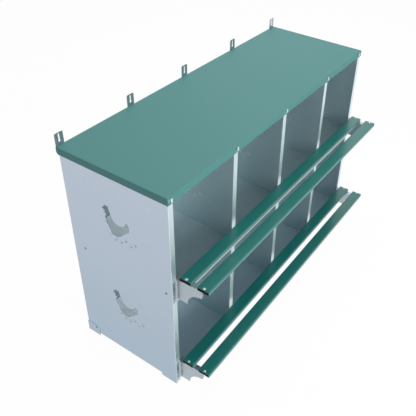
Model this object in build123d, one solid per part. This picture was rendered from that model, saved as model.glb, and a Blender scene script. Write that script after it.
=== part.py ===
from build123d import *
import math
import os

# A two-tier nesting box for laying hens, folded from galvanised sheet.
# Millimetres. X runs along the front, +Y points to the wall behind, +Z is up.
# While modelling, Y is 0 at the roof's front edge; the finished pieces are shifted to the box's centre.

# Whole box
roof_width = 1200.0
roof_depth = 411.0
body_height = 764.0     # lower edge of the panels to the top of the roof
foot_drop = 12.0        # lower edge of the panels above the ground
nests = 4               # in each tier
tiers = 2
tier_pitch = 370.0
sheet = 1.0             # panels, dividers, floors, boards and back
fold = 1.0              # inside radius of a fold in that sheet

# Roof tray and the tongues that hold it
roof_sheet = 1.0
roof_fold = 1.2
roof_lip = 23.4
roof_fit = 1.4          # between the lips and the panels
lip_chamfer = 6.0       # rear lower corner of each side lip
slot_width = 16.0
slot_height = 15.0
slot_lift = 3.0         # strip of lip left below a slot
tongue_width = 8.0
tongue_side = 3.0       # tongue's middle to one side of its slot's middle
tongue_fit = 0.3        # between a tongue and the lip
tongue_gap = 1.0        # between a tongue and its slot's lower and upper edges

# End panels and dividers
flange_width = 20.0
rear_flange_width = 20.0
divider_shifts = [6.0, -4.0, -3.0]     # to the right of four equal nests
front_foot_length = 65.0
hen_place = 208.0       # from the roof's front edge to the middle of a hen
hen_lift = 170.0        # hen's feet above the lower edge of the panels
hen_pitch = 345.0
leg_width = 4.0
track_toe = 13.0
track_heel = 1.8        # heel behind the spot where the toes meet
track_web = 4.0         # toes part this far in front of it
track_spread = 38.0     # degrees between neighbouring toes

# Back panel and its hanging tabs
back_set_in = 8.0       # roof's rear edge to the front face of the back
back_edge = 1.2         # back's side edges inside the end panels' faces
tab_width = 31.0
tab_rise = 40.0         # above the roof
tab_fit = 0.3           # behind the roof's rear edge
tab_corner = 3.0        # clipped corners
tab_relief = 2.0
tab_inset = 18.0        # outer tabs' middles from the roof's ends
inner_tab_spacing = 576.0
middle_tab_shift = -11.5
crank_top = 4.0         # tab's crank ends this far below the roof sheet
crank_height = 14.0
keyhole_entry = 4.0     # radius
keyhole_slot = 2.6      # half width
keyhole_length = 20.0   # entry's middle to the middle of the slot's closed end
keyhole_top = 4.0       # metal left above the slot

# Nest floors
floor_lifts = [16.5, 43.0]      # lower and upper floors above the feet of their tiers
floor_side = 16.0       # turned-down sides
floor_apron = 12.0      # turned-down front and rear
floor_relief = 4.0      # notch at each corner

# Litter boards
board_height = 78.0
board_drop = 6.0        # below the lower edge of the panels
board_end_gap = 1.2
board_hem = 8.0
hem_round = 0.8

# Perches
perch_width = 41.0
perch_height = 12.0
perch_sheet = 1.2
perch_fold = 1.3
perch_gap = 22.0
perch_stand = 14.5      # front of the box to the inner perch
perch_lift = 107.0      # lower perch's top above the lower edge of the panels
perch_set_in = 1.0      # perch's end inside the bracket's face

# Perch brackets
bracket_sheet = 2.0
bracket_edge = 1.5      # from the end panel's face to the free edge of the fixing flange
bracket_set_in = 16.6   # from the end panel's face to the bracket's face
bracket_root = 6.0      # inside radius of the large fold
bracket_reach = 101.0
bracket_height = 78.0
bracket_step = 13.0     # fixing flange sits this much lower than the plate
nose_depth = 27.0
nose_rake = 8.0
nose_round = 5.0
shelf_width = 20.0
shelf_fold = 2.0
shelf_relief = 14.0     # slit under the shelf, in front of the large fold
shelf_gap = 0.5         # shelf's rear edge to the front of the box
shelf_overhang = 8.0    # shelf's tip in front of the nose
shelf_leg = 6.0         # straight part of the plate drawn with the shelf

# Rear feet
foot_sheet = 1.2
foot_side = 56.0
foot_rear = 50.0
foot_height = 44.0
foot_corner = 8.0       # clipped corners

# Fasteners, six-sided like their holes; radii are to the corners
fastener_sides = 6
rivet_shank = 2.4
rivet_head = 4.4
rivet_rise = 1.1
rivet_tail = 0.8        # shank beyond the last sheet
floor_rivet_drop = 9.0      # below the floor
floor_rivet_front = 23.0    # from the front face of the end panels
floor_rivet_rear = 48.0     # from the back panel
back_rivet_lift = 190.0     # above a tier's foot
bracket_rivet_place = 6.2   # from the end panel's face
bracket_rivet_margin = 20.0
bracket_rivet_spacing = 38.0
foot_rivet_lift = 34.0
foot_rivet_margin = 15.0
screw_head = 4.6
screw_shank = 2.4
screw_rise = 2.4
screw_tail = 6.0
screw_inset = 6.0
hole_fit = 0.15

# Planes and levels that the pieces share
base = foot_drop
roof_top = base + body_height
roof_under = roof_top - roof_sheet
lip_foot = roof_top - roof_lip
slot_foot = lip_foot + slot_lift
tongue_root = slot_foot + tongue_gap
half_roof = roof_width / 2
panel_face = half_roof - roof_sheet - roof_fit
front_face = roof_sheet + roof_fit
board_front = front_face + sheet
divider_front = board_front + sheet
back_front = roof_depth - back_set_in
back_rear = back_front + sheet
tab_front = roof_depth + tab_fit
tab_rear = tab_front + sheet
crank_foot = roof_under - crank_top - crank_height
keyhole_level = roof_top + tab_rise - keyhole_top - keyhole_slot - keyhole_length
nest_pitch = (2 * panel_face - sheet) / nests
upright_shifts = [0.0] + divider_shifts + [0.0]
uprights = [k * nest_pitch - panel_face + shift for k, shift in enumerate(upright_shifts)]
tab_middles = [tab_inset - half_roof, -inner_tab_spacing / 2, middle_tab_shift, inner_tab_spacing / 2,
               half_roof - tab_inset]
tier_bases = [base + k * tier_pitch for k in range(tiers)]
tier_names = ["lower", "upper"]
floor_tops = [tier + lift for tier, lift in zip(tier_bases, floor_lifts)]

inner_perch_rear = front_face - perch_stand
outer_perch_rear = inner_perch_rear - perch_width - perch_gap
perch_front = outer_perch_rear - perch_width
bracket_face = panel_face - bracket_set_in
bracket_nose = front_face - bracket_reach
perch_end = bracket_face - perch_set_in
centre_y = (perch_front + tab_rear) / 2

flange_middles = [x + flange_width / 2 for x in uprights[:-1]] + [panel_face - flange_width / 2]
rear_flange_middles = [x + rear_flange_width / 2 for x in uprights[:-1]] + [panel_face - rear_flange_width / 2]
back_rivet_levels = [tier + back_rivet_lift for tier in tier_bases]
perch_screw_x = perch_end - screw_inset
perch_screw_rows = [rear - perch_width / 2 for rear in (inner_perch_rear, outer_perch_rear)]


def strip(points, thickness, inner_radius, side=Side.RIGHT):
    """Section of a folded sheet: the line of its outer face with rounded folds, thickened inwards."""
    line = FilletPolyline(*points, radius=inner_radius + thickness)
    return make_face(offset(line, thickness, side=side))


def sharp_strip(points, thickness, side=Side.RIGHT):
    """Section of a sheet with sharp folds, for the small folds that repeat along the box."""
    return make_face(offset(Polyline(*points), thickness, kind=Kind.INTERSECTION, side=side))


def block(low, high):
    """Straight block between two corners."""
    size = [b - a for a, b in zip(low, high)]
    middle = [(a + b) / 2 for a, b in zip(low, high)]
    return Pos(*middle) * Box(*size)


def prism(spot, direction, radius, length):
    """Six-sided bar that starts at a spot and runs along a direction."""
    sideways = (1, 0, 0) if direction[2] else (0, 0, 1)
    return extrude(Plane(spot, x_dir=sideways, z_dir=direction) * RegularPolygon(radius, fastener_sides), length)


def drill(solid, spots, direction, radius, depth):
    """The solid with a fastener's hole through each spot."""
    back = [-d * depth / 2 for d in direction]
    for spot in spots:
        solid -= prism([a + b for a, b in zip(spot, back)], direction, radius + hole_fit, depth)
    return solid


def fastener(spot, direction, head_radius, rise, shank_radius, length):
    """Rivet or screw: a low head on the first face and a shank through what lies behind it."""
    into = [-d for d in direction]
    return prism(spot, direction, head_radius, rise) + prism(spot, into, shank_radius, length)


def rivet(spot, direction, grip):
    """Blind rivet through a stack of sheets, its shank a little longer than the stack."""
    return fastener(spot, direction, rivet_head, rivet_rise, rivet_shank, grip + rivet_tail)


def mirrored(shape):
    """Right-hand twin of a left-hand piece."""
    return mirror(shape, about=Plane.YZ)


def floor_rivet_spots(x, top):
    """Middles of the two rivets that fix the floors at this level to the upright at x."""
    level = top - floor_rivet_drop
    return [(x, front_face + floor_rivet_front, level), (x, back_front - floor_rivet_rear, level)]


def riveted_floors(k):
    """Levels of the floors riveted to upright k: both on a divider, only the upper one on an end panel."""
    return floor_tops if 0 < k < nests else floor_tops[1:]


def bracket_rivet_spots(y, tier):
    """Middles of the two rivets of a left-hand bracket."""
    top = tier + perch_lift - perch_height - bracket_step - bracket_rivet_margin
    return [(bracket_rivet_place - panel_face, y, z) for z in (top, top - bracket_rivet_spacing)]


def hen_outline():
    """Walking hen: notched comb, arcs for saddle, belly and breast, a raised tail, a wattle and two slim legs.

    The first coordinate points to the rear and the second up, from the ground below the hen."""
    outline = Polyline((30, 88), (37, 87), (38, 98), (46, 104), (38, 110), (38, 117))
    outline += Polyline((38, 117), (33, 114), (30, 122), (26, 116), (20, 120), (19, 110), (11, 86))
    outline += ThreePointArc((11, 86), (-12, 64), (-38, 72))
    outline += Polyline((-38, 72), (-47, 88), (-57, 78), (-56, 58), (-26, 31))
    outline += ThreePointArc((-26, 31), (4, 17), (27, 38))
    outline += ThreePointArc((27, 38), (36, 62), (30, 88))
    hen = make_face(outline.edges())
    for hip, heel, toe in (((10, 30), (16, 12), (26, 12)), ((-6, 28), (-4, 0), (7, 0))):
        hen += make_face(Polyline(hip, heel, toe).offset_2d(leg_width / 2, Kind.INTERSECTION, Side.LEFT).edges())
    return hen


def track_outline():
    """Three toes spread from one heel, each tapered to its tip."""
    polar = [(track_toe, -1.0), (track_web, -0.5), (track_toe, 0.0), (track_web, 0.5), (track_toe, 1.0)]
    turns = [(reach, math.radians(share * track_spread)) for reach, share in polar]
    points = [(reach * math.cos(turn), reach * math.sin(turn)) for reach, turn in turns]
    return make_face(Polyline((-track_heel, 0), *points, close=True))


def hen_cutters():
    """One hen with the tracks behind it for each tier, ready to be cut from an upright at X 0."""
    shapes = [hen_outline()] + [Pos(*step) * track_outline() for step in ((-26, 2), (-44, 16), (-62, 4), (-80, 18))]
    solids = [extrude(Plane.YZ * shape, 2 * sheet, both=True) for shape in shapes]
    return [Pos(0, hen_place, base + hen_lift + k * hen_pitch) * solid for k in range(tiers) for solid in solids]


def tongue(front):
    """Lanced tongue: leaves the flange, passes through the roof's slot and turns up in front of the lip."""
    outer = -tongue_fit - sheet
    path = [(front + sheet, tongue_root), (outer, tongue_root),
            (outer, slot_foot + slot_height - tongue_gap)]
    return extrude(Plane.YZ * sharp_strip(path, sheet), tongue_width / 2, both=True)


def upright_plan(left, front):
    """Outer line of an upright from above: a web with its front and rear flanges folded to the right."""
    return [(left + flange_width, front), (left, front), (left, back_front), (left + rear_flange_width, back_front)]


def upright(section, left, front, foot, cutters):
    """Side wall of a nest, drawn up from its section, with its tongue, cut-outs and the back's rivet holes."""
    wall = Pos(0, 0, foot) * extrude(section, roof_under - foot)
    middle = left + flange_width / 2 + tongue_side
    half = tongue_width / 2 + fold
    wall -= block((middle - half, front - sheet, tongue_root),
                  (middle + half, front + 2 * sheet, tongue_root + slot_height))
    wall += Pos(middle, 0, 0) * tongue(front)
    for cutter in cutters:
        wall -= Pos(left + sheet / 2, 0, 0) * cutter
    wall = drill(wall, [(left + rear_flange_width / 2, back_front, z) for z in back_rivet_levels], (0, 1, 0),
                 rivet_shank, 4 * sheet)
    return wall


def end_panel(cutters):
    """Left-hand end panel with its own front foot, drilled for the bracket, the floor and the rear foot."""
    section = strip(upright_plan(-panel_face, front_face), sheet, fold)
    wall = upright(section, -panel_face, front_face, 0, cutters)
    wall -= block((-half_roof, front_foot_length, -sheet), (0, roof_depth, base))
    for top in riveted_floors(0):
        wall = drill(wall, floor_rivet_spots(-panel_face, top), (1, 0, 0), rivet_shank, 4 * sheet)
    for tier in tier_bases:
        wall = drill(wall, bracket_rivet_spots(front_face, tier), (0, 1, 0), rivet_shank, 4 * sheet)
    return drill(wall, [foot_side_spot], (1, 0, 0), rivet_shank, 6 * sheet)


def divider(k, cutters):
    """Divider between two nests, drilled for the floors on both sides."""
    section = sharp_strip(upright_plan(uprights[k], divider_front), sheet)
    wall = upright(section, uprights[k], divider_front, base, cutters)
    for top in riveted_floors(k):
        wall = drill(wall, floor_rivet_spots(uprights[k], top), (1, 0, 0), rivet_shank, 4 * sheet)
    return wall


def roof_tray():
    """Tray with lips on the front and both ends, open at the rear, slotted for the tongues."""
    outer = block((-half_roof, 0, lip_foot), (half_roof, roof_depth, roof_top))
    inner = block((roof_sheet - half_roof, roof_sheet, lip_foot - roof_lip),
                  (half_roof - roof_sheet, roof_depth + roof_lip, roof_under))
    outer_folds = [e for e in outer.edges().group_by(Axis.Z)[-1] if e.center().Y < roof_depth - sheet]
    inner_folds = [e for e in inner.edges().group_by(Axis.Z)[-1] if e.center().Y < roof_depth]
    tray = fillet(outer_folds, roof_fold + roof_sheet) - fillet(inner_folds, roof_fold)
    corner = Polyline((roof_depth - lip_chamfer, lip_foot), (roof_depth, lip_foot),
                      (roof_depth, lip_foot + lip_chamfer), close=True)
    tray -= extrude(Plane.YZ * make_face(corner), roof_width, both=True)
    for x in flange_middles:
        tray -= block((x - slot_width / 2, -sheet, slot_foot),
                      (x + slot_width / 2, roof_sheet + roof_fit / 2, slot_foot + slot_height))
    return tray


def hanging_tab():
    """Tab that leaves the back below the roof, cranks past the roof's edge and rises above it with a keyhole."""
    path = [(back_front, crank_foot - sheet), (back_front, crank_foot), (tab_front, crank_foot + crank_height),
            (tab_front, roof_top + tab_rise)]
    tab = extrude(Plane.YZ * sharp_strip(path, sheet), tab_width / 2, both=True)
    tab = chamfer(tab.edges().filter_by(Axis.Y).group_by(Axis.Z)[-1], tab_corner)
    slot = Pos(0, keyhole_length / 2) * SlotCenterToCenter(keyhole_length, 2 * keyhole_slot, 90)
    keyhole = Plane((0, tab_front, keyhole_level), x_dir=(1, 0, 0), z_dir=(0, -1, 0)) * (Circle(keyhole_entry) + slot)
    return tab - extrude(keyhole, 2 * sheet, both=True)


def back_panel():
    """Flat back with five cranked hanging tabs along its top."""
    half = panel_face - back_edge
    panel = block((-half, back_front, base), (half, back_rear, roof_under))
    notch_half = tab_width / 2 + tab_relief
    tab = hanging_tab()
    for x in tab_middles:
        panel -= block((x - notch_half, back_front - sheet, crank_foot - sheet),
                       (x + notch_half, back_rear + sheet, roof_top))
        panel += Pos(x, 0, 0) * tab
    for x in rear_flange_middles:
        panel = drill(panel, [(x, back_front, z) for z in back_rivet_levels], (0, 1, 0), rivet_shank, 4 * sheet)
    x, y, z = foot_rear_spot
    return drill(panel, [(x, y, z), (-x, y, z)], (0, 1, 0), rivet_shank, 6 * sheet)


def nest_floor(k, top):
    """Floor pan: sides turned down along the uprights, front and rear turned down, corners notched."""
    left = uprights[k] + sheet
    right = uprights[k + 1]
    front = divider_front + sheet
    rear = back_front - sheet
    across = [(left, top - floor_side), (left, top), (right, top), (right, top - floor_side)]
    along = [(front, top - floor_apron), (front, top), (rear, top), (rear, top - floor_apron)]
    bridge = extrude(Plane.XZ * sharp_strip(across, sheet), front - rear + 2 * floor_relief)
    cover = extrude(Plane.YZ * sharp_strip(along, sheet), right - left - 2 * floor_relief)
    pan = Pos(0, front + floor_relief, 0) * bridge + Pos(left + floor_relief, 0, 0) * cover
    for x, neighbour in ((left, k), (right, k + 1)):
        if top in riveted_floors(neighbour):
            pan = drill(pan, floor_rivet_spots(x, top), (1, 0, 0), rivet_shank, 4 * sheet)
    return pan


def litter_board(tier):
    """Board across the mouths of a tier's nests, with its top edge hemmed to the front."""
    low = tier - board_drop
    top = low + board_height
    half = panel_face - sheet - board_end_gap
    hem_half = panel_face - flange_width - board_end_gap
    board = block((-half, board_front, low), (half, board_front + sheet, top))
    board += block((-hem_half, front_face, top - board_hem), (hem_half, board_front, top))
    crest = [e for e in board.edges().filter_by(Axis.X).group_by(Axis.Z)[-1] if e.center().Y < board_front]
    board = fillet(crest, hem_round)
    for x, y, z in bracket_rivet_spots(board_front, tier):
        board = drill(board, [(x, y, z), (-x, y, z)], (0, 1, 0), rivet_shank, 4 * sheet)
    return board


def perch(rear, top):
    """Inverted channel with rounded folds, drilled for a screw near each end."""
    front = rear - perch_width
    path = [(front, top - perch_height), (front, top), (rear, top), (rear, top - perch_height)]
    bar = extrude(Plane.YZ * strip(path, perch_sheet, perch_fold), perch_end, both=True)
    spots = [(side * perch_screw_x, rear - perch_width / 2, top) for side in (-1, 1)]
    return drill(bar, spots, (0, 0, 1), screw_shank, 4 * perch_sheet)


def bracket_outline(top):
    """Side view of a bracket's plate: raked nose, and an underside scooped to a point."""
    plate_top = top - shelf_fold - bracket_sheet
    low = top - bracket_height
    scoop_radius = bracket_height - nose_depth
    slant = scoop_radius * math.sqrt(0.5)
    start = (bracket_nose + nose_rake, low + scoop_radius)
    end = (bracket_nose + nose_rake + scoop_radius, low)
    outline = Polyline(end, (front_face, low), (front_face, plate_top), (bracket_nose, plate_top), start)
    outline += ThreePointArc(start, (start[0] + slant, low + slant), end)
    return make_face(outline.edges())


def perch_bracket(tier):
    """Left-hand bracket: fixing flange, large fold, scooped plate and a shelf folded inwards along its top.

    Behind its fold the shelf runs back flat to the box, over a slit that frees it from the large fold."""
    top = tier + perch_lift - perch_height
    low = top - bracket_height
    plate_inner = bracket_sheet - bracket_face
    flange_front = front_face - bracket_sheet
    plan = [(bracket_edge - panel_face, front_face), (plate_inner, front_face), (plate_inner, bracket_nose)]
    folded = extrude(strip(plan, bracket_sheet, bracket_root), bracket_height + bracket_step)
    side = extrude(Plane.YZ * bracket_outline(top), roof_width, both=True)
    nose = side.edges().filter_by(Axis.X).group_by(Axis.Y)[0]
    side = fillet(nose, nose_round)
    side += block((-roof_width, flange_front, low - bracket_step), (roof_width, front_face, low))
    bracket = (Pos(0, 0, low - bracket_step) * folded) & side
    bracket -= block((-half_roof, flange_front - bracket_root, top - bracket_step),
                     (-bracket_face - bracket_root, front_face, top))
    fold_rear = flange_front - bracket_root - shelf_relief
    fold_front = bracket_nose + nose_round
    path = [(-bracket_face, top - shelf_leg), (-bracket_face, top), (shelf_width - bracket_face, top)]
    shelf = extrude(Plane.XZ * strip(path, bracket_sheet, shelf_fold), fold_rear - fold_front)
    bracket += Pos(0, fold_rear, 0) * shelf
    bracket += block((-bracket_face, fold_rear, top - bracket_sheet),
                     (shelf_width - bracket_face, front_face - shelf_gap, top))
    bracket += block((plate_inner + shelf_fold, bracket_nose - shelf_overhang, top - bracket_sheet),
                     (shelf_width - bracket_face, fold_front, top))
    bracket = drill(bracket, bracket_rivet_spots(front_face, tier), (0, 1, 0), rivet_shank, 4 * bracket_sheet)
    spots = [(-perch_screw_x, y, top) for y in perch_screw_rows]
    return drill(bracket, spots, (0, 0, 1), screw_shank, 4 * bracket_sheet)


foot_side_face = -panel_face - foot_sheet
foot_rear_face = back_rear + foot_sheet
foot_side_spot = (foot_side_face, foot_rear_face - foot_side + foot_rivet_margin, foot_rivet_lift)
foot_rear_spot = (foot_rear - foot_rivet_margin - panel_face, foot_rear_face, foot_rivet_lift)


def rear_foot():
    """Left-hand angle foot round the rear corner, outside the end panel and the back."""
    plan = [(foot_side_face, foot_rear_face - foot_side), (foot_side_face, foot_rear_face),
            (foot_rear - panel_face, foot_rear_face)]
    foot = extrude(sharp_strip(plan, foot_sheet), foot_height)
    side_corner = foot.edges().filter_by(Axis.X).group_by(Axis.Z)[-1].sort_by(Axis.Y)[0]
    rear_corner = foot.edges().filter_by(Axis.Y).group_by(Axis.Z)[-1].sort_by(Axis.X)[-1]
    foot = chamfer([side_corner, rear_corner], foot_corner)
    foot = drill(foot, [foot_side_spot], (1, 0, 0), rivet_shank, 4 * foot_sheet)
    return drill(foot, [foot_rear_spot], (0, 1, 0), rivet_shank, 4 * foot_sheet)


def floor_rivets():
    """Rivets through the uprights and the turned-down sides of the floors."""
    solids = []
    for k in range(nests):
        layers = 3 if k else 2
        face = uprights[k] - sheet if k else uprights[k]
        for top in riveted_floors(k):
            solids += [rivet(spot, (-1, 0, 0), layers * sheet) for spot in floor_rivet_spots(face, top)]
    return solids + [mirrored(solid) for solid in solids[:2]]


def bracket_rivets():
    """Rivets through each bracket, the end panel's flange and the litter board."""
    spots = [spot for tier in tier_bases for spot in bracket_rivet_spots(front_face - bracket_sheet, tier)]
    solids = [rivet(spot, (0, -1, 0), bracket_sheet + 2 * sheet) for spot in spots]
    return solids + [mirrored(solid) for solid in solids]


def back_rivets():
    """Rivets through the back panel and the uprights' rear flanges."""
    spots = [(x, back_rear, z) for x in rear_flange_middles for z in back_rivet_levels]
    return [rivet(spot, (0, 1, 0), 2 * sheet) for spot in spots]


def foot_rivets():
    """Rivets that hold the rear feet."""
    solids = [rivet(foot_side_spot, (-1, 0, 0), foot_sheet + sheet),
              rivet(foot_rear_spot, (0, 1, 0), foot_sheet + sheet)]
    return solids + [mirrored(solid) for solid in solids]


def perch_screws():
    """Pan-head screws through the perches and the bracket shelves."""
    length = perch_height + bracket_sheet + screw_tail
    spots = [(side * perch_screw_x, y, tier + perch_lift)
             for tier in tier_bases for side in (-1, 1) for y in perch_screw_rows]
    return [fastener(spot, (0, 0, 1), screw_head, screw_rise, screw_shank, length) for spot in spots]


hens = hen_cutters()
nodes = {"roof": roof_tray(), "back_panel": back_panel(), "left_end_panel": end_panel(hens)}
nodes["right_end_panel"] = mirrored(nodes["left_end_panel"])
for k in range(1, nests):
    nodes[f"divider_{k}"] = divider(k, hens)
for name, tier, top in zip(tier_names, tier_bases, floor_tops):
    for k in range(nests):
        nodes[f"{name}_floor_{k + 1}"] = nest_floor(k, top)
    nodes[f"{name}_litter_board"] = litter_board(tier)
    nodes[f"{name}_left_bracket"] = perch_bracket(tier)
    nodes[f"{name}_right_bracket"] = mirrored(nodes[f"{name}_left_bracket"])
    nodes[f"{name}_inner_perch"] = perch(inner_perch_rear, tier + perch_lift)
    nodes[f"{name}_outer_perch"] = perch(outer_perch_rear, tier + perch_lift)
nodes["left_rear_foot"] = rear_foot()
nodes["right_rear_foot"] = mirrored(nodes["left_rear_foot"])
fasteners = {"perch_screws": perch_screws(), "bracket_rivets": bracket_rivets(), "floor_rivets": floor_rivets(),
             "back_rivets": back_rivets(), "foot_rivets": foot_rivets()}

os.makedirs("parts", exist_ok=True)
centring = Pos(0, -centre_y, 0)
for name, shape in nodes.items():
    export_step(centring * shape, f"parts/{name}.step")
for name, solids in fasteners.items():
    export_step(Compound([centring * solid.solid() for solid in solids]), f"parts/{name}.step")
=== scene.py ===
import bpy
import numpy as np
from mathutils import Matrix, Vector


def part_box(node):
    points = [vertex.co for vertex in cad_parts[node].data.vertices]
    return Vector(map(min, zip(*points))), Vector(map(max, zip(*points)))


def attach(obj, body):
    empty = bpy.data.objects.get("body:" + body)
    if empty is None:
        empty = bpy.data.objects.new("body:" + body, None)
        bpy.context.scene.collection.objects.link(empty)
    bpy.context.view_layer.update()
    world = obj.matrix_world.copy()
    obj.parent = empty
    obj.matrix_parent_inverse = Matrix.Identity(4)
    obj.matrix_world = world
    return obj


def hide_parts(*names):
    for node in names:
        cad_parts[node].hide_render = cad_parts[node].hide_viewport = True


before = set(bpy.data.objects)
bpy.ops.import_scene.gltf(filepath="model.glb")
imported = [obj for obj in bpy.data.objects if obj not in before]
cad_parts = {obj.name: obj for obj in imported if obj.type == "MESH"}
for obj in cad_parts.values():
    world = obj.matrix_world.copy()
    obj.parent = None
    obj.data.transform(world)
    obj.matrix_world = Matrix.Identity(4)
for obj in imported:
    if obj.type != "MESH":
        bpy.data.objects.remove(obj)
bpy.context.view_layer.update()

# End panels: channels folded from 1 mm galvanised steel sheet, with two hens and their tracks cut through
# each web. They carry the roof and the ends of every perch.


def linear(code):
    """sRGB hex to linear RGBA: below 0.04045 divide by 12.92, above it ((c + 0.055) / 1.055) ** 2.4."""
    c = np.array([int(code[i:i + 2], 16) for i in (1, 3, 5)]) / 255
    low, high = c / 12.92, ((c + 0.055) / 1.055) ** 2.4
    return (*np.where(c <= 0.04045, low, high).tolist(), 1.0)


def add(tree, kind, feeds=(), **settings):
    """Adds one node: settings name properties or inputs, feeds pair an input with a socket or constant."""
    node = tree.nodes.new(kind)
    for name, value in settings.items():
        if hasattr(node, name):
            setattr(node, name, value)
        else:
            node.inputs[name.replace("_", " ")].default_value = value
    for name, feed in feeds:
        if isinstance(feed, bpy.types.NodeSocket):
            tree.links.new(feed, node.inputs[name])
        else:
            node.inputs[name].default_value = feed
    return node


def new_material(name):
    """Material whose tree holds only a surface shader wired to the output."""
    material = bpy.data.materials.new(name)
    material.use_nodes = True
    material.node_tree.nodes.clear()
    shader = add(material.node_tree, "ShaderNodeBsdfPrincipled")
    add(material.node_tree, "ShaderNodeOutputMaterial", [("Surface", shader.outputs[0])])
    return material, shader


mix_a, mix_b, mixed = 6, 7, 2  # colour sockets of a Mix node: its two inputs and its output


def zinc_sheet(name, dark, light, rough_low, rough_high):
    """Hot-dip galvanised sheet: 9 mm crystals and a wide haze shift its tint and gloss a little."""
    crystal_mm, haze_mm = 9.0, 160.0
    span = {"From_Min": 0.4, "From_Max": 1.6}  # of the two patterns' sum
    material, shader = new_material(name)
    tree = material.node_tree
    place = add(tree, "ShaderNodeTexCoord").outputs["Object"]
    crystal = add(tree, "ShaderNodeTexVoronoi", [("Vector", place)], Scale=1000 / crystal_mm)
    haze = add(tree, "ShaderNodeTexNoise", [("Vector", place)], Scale=1000 / haze_mm, Detail=3.0)
    patterns = [(0, crystal.outputs["Color"]), (1, haze.outputs[0])]
    shade = add(tree, "ShaderNodeMath", patterns, operation="ADD").outputs[0]
    tint = add(tree, "ShaderNodeMapRange", [("Value", shade)], **span).outputs[0]
    tints = [(0, tint), (mix_a, linear(dark)), (mix_b, linear(light))]
    colour = add(tree, "ShaderNodeMix", tints, data_type="RGBA")
    gloss = add(tree, "ShaderNodeMapRange", [("Value", shade)], To_Min=rough_low, To_Max=rough_high, **span)
    tree.links.new(colour.outputs[mixed], shader.inputs["Base Color"])
    tree.links.new(gloss.outputs[0], shader.inputs["Roughness"])
    shader.inputs["Metallic"].default_value = 1.0
    return material


def dress(material, names):
    """Puts one material on the material slots of some CAD nodes."""
    for name in names:
        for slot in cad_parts[name].material_slots:
            slot.material = material


# Zinc that has stayed pale and smooth in the nests. Outside, the weather has dulled it to a satin
# blue-grey, and painted shade makes it a little deeper toward the ground. The middle of the sheet parts the
# outside from the inside.
nest_finish = {"dark": "#D6E7EB", "light": "#DDECEF", "rough_low": 0.42, "rough_high": 0.48}
sheet_mm, dulling = 1.0, 0.1
panel_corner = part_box("right_end_panel")[1]
panel_zinc = zinc_sheet("galvanised_panel", **nest_finish)
panel_tree = panel_zinc.node_tree
panel_shader = panel_tree.nodes["Principled BSDF"]
own_tint = panel_shader.inputs["Base Color"].links[0].from_socket
own_gloss = panel_shader.inputs["Roughness"].links[0].from_socket
panel_place = add(panel_tree, "ShaderNodeTexCoord").outputs["Object"]
panel_spot = add(panel_tree, "ShaderNodeSeparateXYZ", [("Vector", panel_place)]).outputs
# Painted shade: the outside's tint darkens from the panel's top down toward the ground.
rise = add(panel_tree, "ShaderNodeMapRange", [("Value", panel_spot["Z"])], From_Max=panel_corner.z)
weather_and_shade_tints = [(0, rise.outputs[0]), (mix_a, linear("#CFD2DE")), (mix_b, linear("#E3DEE9"))]
weather_and_ground_shade = add(panel_tree, "ShaderNodeMix", weather_and_shade_tints, data_type="RGBA").outputs[mixed]
reach = add(panel_tree, "ShaderNodeMath", [(0, panel_spot["X"])], operation="ABSOLUTE").outputs[0]
outside = add(panel_tree, "ShaderNodeMath", [(0, reach), (1, panel_corner.x - sheet_mm / 2000)],
              operation="GREATER_THAN").outputs[0]
weathered_and_shaded = add(panel_tree, "ShaderNodeMix", [(0, outside), (mix_a, own_tint), (mix_b, weather_and_ground_shade)],
                data_type="RGBA", blend_type="MULTIPLY")
dulled = add(panel_tree, "ShaderNodeMath", [(0, outside), (1, dulling), (2, own_gloss)],
             operation="MULTIPLY_ADD")
panel_tree.links.new(weathered_and_shaded.outputs[mixed], panel_shader.inputs["Base Color"])
panel_tree.links.new(dulled.outputs[0], panel_shader.inputs["Roughness"])
dress(panel_zinc, ["left_end_panel", "right_end_panel"])

# Dividers: the same sheet folded to channels that stand between the nests, their front edges turned into
# narrow flanges. The nests' own pale, smooth zinc, so that their depths stay even in tone.
nest_zinc = zinc_sheet("galvanised_nest", **nest_finish)
dress(nest_zinc, ["divider_1", "divider_2", "divider_3"])

# Back: one flat sheet riveted to the uprights' rear flanges, with five cranked tabs above the roof to hang
# it by. A smooth grey zinc: dark where it shows the nests, pale where the tabs stand in the light.
back_zinc = zinc_sheet("galvanised_back", "#A9B4BA", "#B1BBC1", rough_low=0.38, rough_high=0.44)
dress(back_zinc, ["back_panel"])

# Nest floors: trays of the same sheet with their sides turned down, riveted through the uprights. Their
# zinc has dulled to a matt grey. At the mouth, painted shade darkens it where the litter board and perches
# shade it; at the back, painted light turns it pale and matt, so that it shows pale through the panels'
# hens.


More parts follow.
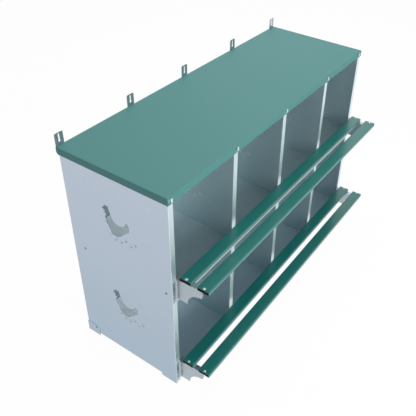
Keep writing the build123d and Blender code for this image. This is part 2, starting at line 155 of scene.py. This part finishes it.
def floor_zinc_painted_light(name, dark, light, mouth_shade):
    """Half dulled zinc sheet: by depth Y, from painted shade at the mouth to its own tint and on to painted
    light, pale and matt, at the back.
    """
    mouth, shade_end, half_metal = -0.145, -0.02, 0.5
    rear_light_span = {"From_Min": 0.04, "From_Max": 0.14}
    material = zinc_sheet(name, dark, light, rough_low=0.60, rough_high=0.66)
    tree = material.node_tree
    shader = tree.nodes["Principled BSDF"]
    own = shader.inputs["Base Color"].links[0].from_socket
    place = add(tree, "ShaderNodeTexCoord").outputs["Object"]
    depth = add(tree, "ShaderNodeSeparateXYZ", [("Vector", place)]).outputs["Y"]
    # Painted shade at the mouth, where the litter board and perches shade the floor.
    out_of_shade = add(tree, "ShaderNodeMapRange", [("Value", depth)], From_Min=mouth, From_Max=shade_end)
    mouth_shade_tints = [(0, out_of_shade.outputs[0]), (mix_a, linear(mouth_shade)), (mix_b, own)]
    mouth_shaded = add(tree, "ShaderNodeMix", mouth_shade_tints, data_type="RGBA").outputs[mixed]
    # Painted light: toward the back the floor turns near white and loses half its metal.
    rear_light = add(tree, "ShaderNodeMapRange", [("Value", depth)], **rear_light_span).outputs[0]
    rear_light_tints = [(0, rear_light), (mix_a, mouth_shaded), (mix_b, linear("#EAF5FA"))]
    rear_lit = add(tree, "ShaderNodeMix", rear_light_tints, data_type="RGBA")
    rear_light_metal = add(tree, "ShaderNodeMapRange", [("Value", depth)], To_Min=half_metal, To_Max=0.0, **rear_light_span)
    tree.links.new(rear_lit.outputs[mixed], shader.inputs["Base Color"])
    tree.links.new(rear_light_metal.outputs[0], shader.inputs["Metallic"])
    return material


# The two tiers are lit and shaded copies of one floor: the lower floors, which take less light, are painted
# paler, with a lighter painted shade at the mouth.
upper_floor = floor_zinc_painted_light("upper_floor_zinc", "#B4CAD2", "#BCD1D8", mouth_shade="#788E96")
lower_floor = floor_zinc_painted_light("lower_floor_zinc", "#CADFEA", "#D2E6F0", mouth_shade="#B2C8D4")
dress(upper_floor, [f"upper_floor_{k}" for k in (1, 2, 3, 4)])
dress(lower_floor, [f"lower_floor_{k}" for k in (1, 2, 3, 4)])

# Litter boards: galvanised strips with a hemmed top edge, held behind the end panels' flanges.
# Their zinc is fresh and bright, so that the hem draws a pale line behind the perches.
board_zinc = zinc_sheet("galvanised_board", "#C4D0D6", "#CCD7DC", rough_low=0.45, rough_high=0.52)
dress(board_zinc, ["lower_litter_board", "upper_litter_board"])

# Rear feet: angles of the panels' own sheet, riveted round the rear corners so that the box stands level.
# Zinc dulled by the weather to the end panels' blue-grey.
foot_zinc = zinc_sheet("galvanised_foot", "#ADBECD", "#B3C2D0", rough_low=0.52, rough_high=0.58)
dress(foot_zinc, ["left_rear_foot", "right_rear_foot"])

# Perch brackets: thicker sheet, pressed to a curved outline and folded, riveted to the end panels' flanges.
# Electroplated zinc: smoother than the dipped sheet, so that its folds show sharper lights and darks.
tiers = ("lower", "upper")
bracket_zinc = zinc_sheet("plated_bracket", "#A6B0B8", "#B0BAC1", rough_low=0.28, rough_high=0.34)
dress(bracket_zinc, [f"{tier}_{side}_bracket" for tier in tiers for side in ("left", "right")])

# Blind rivets: low domes of plated steel with the broken mandrel dark in the middle, through the floors'
# sides, the brackets, the back and the rear feet.


def turned(profile, sides):
    """Surface of revolution with flat ends: ring i is (r cos t, r sin t, h), (r, h) = profile[i] in mm."""
    r, h = np.array(profile).T / 1000
    t = np.arange(sides) * 2 * np.pi / sides
    points = np.stack([np.outer(r, np.cos(t)), np.outer(r, np.sin(t)), np.repeat(h[:, None], sides, 1)], -1)
    k = np.arange(sides)
    after = (k + 1) % sides
    row = sides * np.arange(len(r) - 1)[:, None]
    quads = np.stack([row + k, row + sides + k, row + sides + after, row + after], -1).reshape(-1, 4)
    caps = np.stack([k, sides * len(r) - 1 - k])
    return points.reshape(-1, 3), quads, caps


def planted(points, spots, axis, angle=0.0):
    """Copies at every spot (mm), turned by an angle about their own Z, then spot + x u + y v + z axis."""
    axis = np.array(axis, float)
    u = np.cross([0, 0, 1], axis) if abs(axis[2]) < 0.5 else np.array([1.0, 0, 0])
    v = np.cross(axis, u)
    c, s = (np.broadcast_to(f(angle), len(spots))[:, None, None] for f in (np.cos, np.sin))
    x, y, z = points[:, 0, None], points[:, 1, None], points[:, 2, None]
    return (x * c - y * s) * u + (x * s + y * c) * v + z * axis + np.array(spots, float)[:, None] / 1000


def copied(faces, step, count):
    """Faces of several copies of one mesh, copy c using the points from c * step on."""
    return (faces + step * np.arange(count)[:, None, None]).reshape(-1, faces.shape[1])


def new_piece(name, points, faces, slots, materials, smooth=True):
    """Mesh from points and groups of faces that rides on the box; slots gives each face its material."""
    mesh = bpy.data.meshes.new(name)
    mesh.from_pydata(points.tolist(), [], [face for group in faces for face in group.tolist()])
    mesh.polygons.foreach_set("use_smooth", np.full(len(mesh.polygons), smooth))
    for material in materials:
        mesh.materials.append(material)
    mesh.polygons.foreach_set("material_index", np.concatenate(slots).astype(np.int32))
    piece = bpy.data.objects.new(name, mesh)
    bpy.context.scene.collection.objects.link(piece)
    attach(piece, "root")
    return piece


def plain_metal(name, code, roughness):
    """Even metal of one colour and gloss."""
    material, shader = new_material(name)
    shader.inputs["Base Color"].default_value = linear(code)
    shader.inputs["Metallic"].default_value = 1.0
    shader.inputs["Roughness"].default_value = roughness
    return material


def corners(node):
    """Lowest and highest corners of a CAD node in mm."""
    return np.array(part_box(node)) * 1000


# Weathered plating, darker than the sheets round it, and the mandrels' broken steel as a dot darker still;
# the same dark steel on the wall of the recess round it is painted shade.
rivet_plate = plain_metal("weathered_rivet", "#7A8186", roughness=0.5)
mandrel_and_recess_shade = plain_metal("broken_steel_recess_shade", "#4A5054", roughness=0.5)
rivet_sides, shank_radius, tail_radius, tail_height, tail_reach = 20, 2.4, 2.1, 0.4, 0.8
dome = [(1.2, 0.55), (1.25, 1.0), (1.5, 1.1), (2.4, 1.0), (3.3, 0.72), (4.0, 0.36), (4.4, 0.05), (4.4, 0.0),
        (shank_radius, 0.0)]

# Places of the heads in mm, set in from the edges of the sheets that they hold.
bracket_mm, foot_mm = 2.0, 1.2
front_inset, rear_inset, side_middle = 20.0, 47.0, 7.0
bracket_inset, bracket_rises = 4.7, (20.0, 58.0)
flange_middle, back_rises = 10.0, (190.0, 560.0)
foot_inset, foot_drop = 15.0, 10.0
panel_low, panel_high = corners("right_end_panel")
dividers = [corners(f"divider_{k}")[0, 0] for k in (1, 2, 3)]
floor_low, floor_high = corners("upper_floor_1")
floor_rows = (floor_low[1] + front_inset, floor_high[1] - rear_inset)
floor_levels = [corners(f"{tier}_floor_1")[0, 2] + side_middle for tier in tiers]
bracket_corner = corners("upper_right_bracket")[1]
bracket_columns = (bracket_inset - bracket_corner[0], bracket_corner[0] - bracket_inset)
bracket_face = bracket_corner[1] - bracket_mm
bracket_levels = [corners(f"{tier}_right_bracket")[0, 2] + up for tier in tiers for up in bracket_rises]
back_low = corners("back_panel")[0]
flange_columns = [x + flange_middle for x in (*dividers, panel_low[0])]
back_columns = [-flange_columns[-1], *flange_columns]
back_levels = [back_low[2] + up for up in back_rises]
foot_low, foot_high = corners("right_rear_foot")
foot_column, foot_row = foot_low[:2] + foot_inset
foot_level = foot_high[2] - foot_drop

# For each node: the heads' direction, the thickness of the sheets held, and the places where the heads sit.
to_left, to_right, to_front, to_rear = (-1, 0, 0), (1, 0, 0), (0, -1, 0), (0, 1, 0)
two_sheets, three_sheets = 2 * sheet_mm, 3 * sheet_mm
bracket_grip, foot_grip = bracket_mm + two_sheets, foot_mm + sheet_mm
rivet_rows = {
    "floor_rivets": [
        (to_left, three_sheets, [(x - sheet_mm, y, z)
                                 for x in dividers for y in floor_rows for z in floor_levels]),
        (to_left, two_sheets, [(-panel_high[0], y, floor_levels[1]) for y in floor_rows]),
        (to_right, two_sheets, [(panel_high[0], y, floor_levels[1]) for y in floor_rows])],
    "bracket_rivets": [
        (to_front, bracket_grip, [(x, bracket_face, z) for x in bracket_columns for z in bracket_levels])],
    "back_rivets": [
        (to_rear, two_sheets, [(x, back_low[1] + sheet_mm, z) for x in back_columns for z in back_levels])],
    "foot_rivets": [
        (to_left, foot_grip, [(-foot_high[0], foot_row, foot_level)]),
        (to_right, foot_grip, [(foot_high[0], foot_row, foot_level)]),
        (to_rear, foot_grip, [(x, foot_high[1], foot_level) for x in (-foot_column, foot_column)])],
}
for group, rows in rivet_rows.items():
    points, faces, slots, used = [], [], [], 0
    for axis, grip, spots in rows:
        length = grip + tail_reach
        tail = [(shank_radius, tail_height - length), (tail_radius, -length)]
        one, quads, caps = turned(dome + tail, rivet_sides)
        points.append(planted(one, spots, axis).reshape(-1, 3))
        faces += [copied(quads + used, len(one), len(spots)), copied(caps + used, len(one), len(spots))]
        # Painted shade: the recess wall takes the mandrel's dark steel along with the recess floor, where
        # the broken mandrel really sits.
        slots += [np.tile(np.arange(len(quads)) < rivet_sides, len(spots)), np.tile([1, 0], len(spots))]
        used += len(one) * len(spots)
    rivets = new_piece(group + "_visual", np.concatenate(points), faces, slots, [rivet_plate, mandrel_and_recess_shade])
    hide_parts(group)

# Roof: a shallow tray folded from coil-coated steel sheet, green polyester paint outside and a pale backing
# coat below, resting on the uprights with its lip over their tops.


def satin_paint(name, code, roughness):
    """Baked paint: one even colour, a satin gloss and a grain of about 2 mm."""
    grain_mm = 2.0
    material, shader = new_material(name)
    tree = material.node_tree
    place = add(tree, "ShaderNodeTexCoord").outputs["Object"]
    grain = add(tree, "ShaderNodeTexNoise", [("Vector", place)], Scale=1000 / grain_mm, Detail=2.0)
    bump = add(tree, "ShaderNodeBump", [("Height", grain.outputs[0])], Strength=0.04, Distance=0.0002)
    tree.links.new(bump.outputs[0], shader.inputs["Normal"])
    shader.inputs["Base Color"].default_value = linear(code)
    shader.inputs["Roughness"].default_value = roughness
    return material, shader


# Satin green that pales toward the far end, where it takes more of the room's white. The backing coat is
# on the faces that look down.
roof_green, backing, downward_z = "#458280", "#D2D5D2", -0.5
roof_paint, roof_shader = satin_paint("green_coil_coat", roof_green, roughness=0.6)
roof_tree = roof_paint.node_tree
normal = add(roof_tree, "ShaderNodeNewGeometry").outputs["Normal"]
facing = add(roof_tree, "ShaderNodeSeparateXYZ", [("Vector", normal)]).outputs["Z"]
downward = add(roof_tree, "ShaderNodeMath", [(0, facing), (1, downward_z)], operation="LESS_THAN")
roof_tints = [(0, downward.outputs[0]), (mix_a, linear(roof_green)), (mix_b, linear(backing))]
roof_coats = add(roof_tree, "ShaderNodeMix", roof_tints, data_type="RGBA")
roof_tree.links.new(roof_coats.outputs[mixed], roof_shader.inputs["Base Color"])
dress(roof_paint, ["roof"])

# Perches: inverted channels of steel sheet, enamelled outside and screwed to the brackets' shelves. A
# deeper green than the roof's, with a sharper gloss. The hollow below is painted near black as painted
# shade, from just short of the sheet's inner face on.
perch_green, hollow_shade = "#0C6F69", "#141617"
bar_low, bar_high = corners("upper_inner_perch")
bar_width = bar_high[1] - bar_low[1]
bar_rows = [corners(f"upper_{row}_perch").mean(0)[1] for row in ("inner", "outer")]
bar_tops = [corners(f"{tier}_inner_perch")[1, 2] for tier in tiers]
bar_sheet, shade_margin = 1.2, 0.25
hollow_start = bar_sheet - shade_margin
perch_paint, perch_shader = satin_paint("green_perch_enamel", perch_green, roughness=0.35)
perch_shader.inputs["Coat Weight"].default_value = 0.3
perch_shader.inputs["Coat Roughness"].default_value = 0.15
perch_tree = perch_paint.node_tree
perch_place = add(perch_tree, "ShaderNodeTexCoord").outputs["Object"]
perch_spot = add(perch_tree, "ShaderNodeSeparateXYZ", [("Vector", perch_place)]).outputs


def from_nearest(place, first, second):
    """Distance of a place from the nearer of two lines in mm: it ping-pongs over half their pitch."""
    half_pitch = abs(first - second) / 2000
    moved = add(perch_tree, "ShaderNodeMath", [(0, place), (1, first / 1000)], operation="SUBTRACT")
    folded = [(0, moved.outputs[0]), (1, half_pitch)]
    return add(perch_tree, "ShaderNodeMath", folded, operation="PINGPONG").outputs[0]


across = from_nearest(perch_spot["Y"], *bar_rows)
below = from_nearest(perch_spot["Z"], *reversed(bar_tops))
between = add(perch_tree, "ShaderNodeMath", [(0, across), (1, (bar_width / 2 - hollow_start) / 1000)],
              operation="LESS_THAN").outputs[0]
under = add(perch_tree, "ShaderNodeMath", [(0, below), (1, hollow_start / 1000)],
            operation="GREATER_THAN").outputs[0]
hollow = add(perch_tree, "ShaderNodeMath", [(0, between), (1, under)], operation="MULTIPLY").outputs[0]
# Painted shade: the faces in the hollow take the near-black tint in place of the green.
perch_and_shade_tints = [(0, hollow), (mix_a, linear(perch_green)), (mix_b, linear(hollow_shade))]
paint_and_hollow_shade = add(perch_tree, "ShaderNodeMix", perch_and_shade_tints, data_type="RGBA")
perch_tree.links.new(paint_and_hollow_shade.outputs[mixed], perch_shader.inputs["Base Color"])
dress(perch_paint, [f"{tier}_{row}_perch" for tier in tiers for row in ("inner", "outer")])

# End plugs: blocks of black moulded rubber that close the open ends of every perch.
# They are pressed in between the channel's walls until they are flush with the bar's end.


def blocks(low, high):
    """One box for each row of corners in mm: low + (i, j, k) (high - low), where i, j and k are 0 or 1."""
    ijk = np.indices((2, 2, 2)).reshape(3, -1).T
    points = (low[:, None] + ijk * (high - low)[:, None]) / 1000
    quads = np.array([(0, 1, 3, 2), (4, 6, 7, 5), (0, 4, 5, 1), (2, 3, 7, 6), (0, 2, 6, 4), (1, 5, 7, 3)])
    return points.reshape(-1, 3), copied(quads, len(ijk), len(low))


# Matt black that takes hardly any of the room's white.
rubber, rubber_shader = new_material("black_rubber")
rubber_shader.inputs["Base Color"].default_value = linear("#0C0D0D")
rubber_shader.inputs["Roughness"].default_value = 0.7
rubber_shader.inputs["Specular IOR Level"].default_value = 0.1
plug_play, plug_thick, plug_height = 0.1, 2.5, 10.5
plug_drop = bar_sheet + plug_play
plug_half = np.array([plug_thick, bar_width - 2 * plug_drop, plug_height]) / 2
plug_end = bar_high[0] - plug_half[0]
plug_levels = [top - plug_drop - plug_half[2] for top in bar_tops]
plug_middles = np.array([(x, y, z) for x in (-plug_end, plug_end) for y in bar_rows for z in plug_levels])
points, quads = blocks(plug_middles - plug_half, plug_middles + plug_half)
new_piece("perch_end_plugs_visual", points, [quads], [np.zeros(len(quads))], [rubber], smooth=False)

# Perch screws: zinc-plated pan heads with a cross recess, one near each end of every perch, driven through
# the bar and the bracket's shelf so that the threads show below, painted nearly black as painted shade.


def cross_recess(points, half, reach, depth):
    """Sinks a head by depth (1 - m / 2 reach), m = max(|x|, |y|) < reach, where min(|x|, |y|) < half."""
    x, y = np.abs(points[:, :2].T) * 1000
    m = np.maximum(x, y)
    inside = (np.minimum(x, y) < half) & (m < reach) & (points[:, 2] > 0)
    return points - np.outer(np.where(inside, depth * (1 - 0.5 * m / reach), 0) / 1000, [0, 0, 1])


def thread(points, start, end, pitch, rise):
    """Grows the shank by rise times a triangle wave of h / pitch - t / 2 pi between two heights (mm)."""
    x, y, h = points.T
    phase = (h * 1000 / pitch - np.arctan2(y, x) / (2 * np.pi)) % 1
    on = (h * 1000 < start) & (h * 1000 > end)
    radius = np.maximum(np.hypot(x, y) * 1000, 0.1)
    grow = np.where(on, 1 + rise * (1 - 2 * np.abs(phase - 0.5)) / radius, 1)
    return points * np.stack([grow, grow, np.ones_like(grow)], 1)


# Bright plating on the heads, and painted shade that turns the threads nearly black under the bars.
plated = plain_metal("zinc_plate", "#B9C0C5", roughness=0.34)
thread_shade = plain_metal("thread_painted_shade", "#1E2123", roughness=0.6)
screw_sides, screw_length, core, ring_step, screw_inset = 32, 20.0, 1.9, 0.2, 6.0
pan = [(0.35, 2.4), (0.7, 2.4), (1.1, 2.38), (1.5, 2.36), (1.9, 2.32), (2.3, 2.26), (2.45, 2.24),
       (3.1, 2.05), (3.8, 1.65), (4.3, 1.05), (4.6, 0.3), (4.6, 0.0), (core, 0.0)]
point_length, thread_stop = 1.4, 1.6
shank = [(core, -h) for h in np.arange(ring_step, screw_length - point_length, ring_step).tolist()]
tip = [(1.2, 0.6 - screw_length), (0.5, -screw_length)]
screw, quads, caps = turned(pan + shank + tip, screw_sides)
screw = cross_recess(screw, half=0.6, reach=2.35, depth=1.1)
screw = thread(screw, start=-0.5, end=thread_stop - screw_length, pitch=1.4, rise=0.5)
screw_end = bar_high[0] - screw_inset
screw_spots = [(x, y, z) for x in (-screw_end, screw_end) for y in bar_rows for z in bar_tops]
count = len(screw_spots)
quarter = np.pi / 2 * (0.618 * np.arange(count) % 1)  # each screw stops at its own part of a quarter turn
points = planted(screw, screw_spots, (0, 0, 1), quarter).reshape(-1, 3)
faces = [copied(quads, len(screw), count), copied(caps, len(screw), count)]
slots = [np.tile(np.arange(len(quads)) >= screw_sides * (len(pan) - 1), count), np.tile([0, 1], count)]
screws = new_piece("perch_screws_visual", points, faces, slots, [plated, thread_shade])
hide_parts("perch_screws")

# Floor and background: a plain pale floor that keeps the box's shadow, in an even white room.
# Both show as white to the camera and in the zinc, and light the box with less than that.


def background_rays(tree):
    """1 for the rays that show the background: from the camera, from a gloss or through glass."""
    rays = add(tree, "ShaderNodeLightPath").outputs
    direct = [(0, rays["Is Camera Ray"]), (1, rays["Is Glossy Ray"])]
    seen = add(tree, "ShaderNodeMath", direct, operation="MAXIMUM").outputs[0]
    either = [(0, seen), (1, rays["Is Transmission Ray"])]
    return add(tree, "ShaderNodeMath", either, operation="MAXIMUM").outputs[0]


floor_half, white_share = 12.0, 0.97
floor_corners = np.array([(-1, -1, 0), (1, -1, 0), (1, 1, 0), (-1, 1, 0)]) * floor_half
floor_mesh = bpy.data.meshes.new("studio_floor")
floor_mesh.from_pydata(floor_corners.tolist(), [], [(0, 1, 2, 3)])
studio_floor = bpy.data.objects.new("studio_floor", floor_mesh)
bpy.context.scene.collection.objects.link(studio_floor)
pale, pale_shader = new_material("pale_floor")
pale_tree = pale.node_tree
pale_shader.inputs["Base Color"].default_value = linear("#FAFAFA")
pale_shader.inputs["Roughness"].default_value = 0.9
white_light = add(pale_tree, "ShaderNodeEmission", Color=(1, 1, 1, 1), Strength=1.0)
share = add(pale_tree, "ShaderNodeMath", [(0, background_rays(pale_tree)), (1, white_share)],
            operation="MULTIPLY")
pale_sides = [(0, share.outputs[0]), (1, pale_shader.outputs[0]), (2, white_light.outputs[0])]
pale_mix = add(pale_tree, "ShaderNodeMixShader", pale_sides)
pale_tree.links.new(pale_mix.outputs[0], pale_tree.nodes["Material Output"].inputs["Surface"])
floor_mesh.materials.append(pale)

room = bpy.data.worlds.new("white_room")
bpy.context.scene.world = room
room.use_nodes = True
room_tree = room.node_tree
room_tree.nodes.clear()
soft = add(room_tree, "ShaderNodeBackground", Color=(1, 1, 1, 1), Strength=0.28)
white = add(room_tree, "ShaderNodeBackground", Color=(1, 1, 1, 1), Strength=1.0)
room_sides = [(0, background_rays(room_tree)), (1, soft.outputs[0]), (2, white.outputs[0])]
room_mix = add(room_tree, "ShaderNodeMixShader", room_sides)
add(room_tree, "ShaderNodeOutputWorld", [("Surface", room_mix.outputs[0])])

# Lamps: a softbox before the nests, low enough to reach under the roof, a wide one overhead, and a faint
# one behind the right end that brightens the roof's far corner.


def placed(right, up, back, spot):
    """Matrix that turns an object's own X, Y and Z to right, up and back, and sets it at a spot."""
    matrix = np.eye(4)
    matrix[:3] = np.stack([right, up, back, spot], 1)
    return Matrix(matrix.tolist())


def softbox(name, spot, target, width, height, watts):
    """Rectangular lamp at a spot whose own -Z points at the target."""
    upright = (0.0, 0.1, 1.0)
    lamp = bpy.data.lights.new(name, "AREA")
    lamp.shape = "RECTANGLE"
    lamp.size, lamp.size_y, lamp.energy = width, height, watts
    holder = bpy.data.objects.new(name, lamp)
    bpy.context.scene.collection.objects.link(holder)
    back = np.array(spot) - np.array(target)
    back = back / np.linalg.norm(back)
    right = np.cross(upright, back)
    right = right / np.linalg.norm(right)
    holder.matrix_world = placed(right, np.cross(back, right), back, spot)


softbox("front_softbox", (-0.7, -2.95, 1.5), target=(0.0, 0.0, 0.45), width=2.0, height=0.6, watts=61)
softbox("overhead_softbox", (0.8, 0.2, 3.2), target=(0.3, 0.0, 0.0), width=3.0, height=3.0, watts=55)
softbox("rim_softbox", (2.6, 1.3, 1.9), target=(0.3, 0.0, 0.78), width=1.6, height=0.8, watts=3.5)

# Camera: the photograph's high view from the left front, fitted to the box's corners.
# The lens is shifted, because the middle of the photograph isn't the middle of its perspective.


def view_axes(azimuth, elevation, roll):
    """Right, up and back of a camera: back = (sin a cos e, -cos a cos e, sin e), then a roll about back."""
    a, e, r = np.radians([azimuth, elevation, roll])
    back = np.array([np.sin(a) * np.cos(e), -np.cos(a) * np.cos(e), np.sin(e)])
    right = np.cross([0, 0, 1], back)
    right /= np.linalg.norm(right)
    up = np.cross(back, right)
    return right * np.cos(r) + up * np.sin(r), up * np.cos(r) - right * np.sin(r), back


frame_px, focal_px, centre_px, sensor_mm = 416, 572.71, (246.32, 173.01), 36
eye = (-1.46687, -0.91695, 1.67374)
lens = bpy.data.cameras.new("camera")
lens.sensor_width = sensor_mm
lens.lens = focal_px * sensor_mm / frame_px
lens.shift_x = (frame_px / 2 - centre_px[0]) / frame_px
lens.shift_y = (centre_px[1] - frame_px / 2) / frame_px
camera = bpy.data.objects.new("camera", lens)
bpy.context.scene.collection.objects.link(camera)
camera.matrix_world = placed(*view_axes(azimuth=-58.19, elevation=35.15, roll=2.70), eye)
bpy.context.scene.camera = camera
bpy.context.scene.view_settings.view_transform = "Standard"
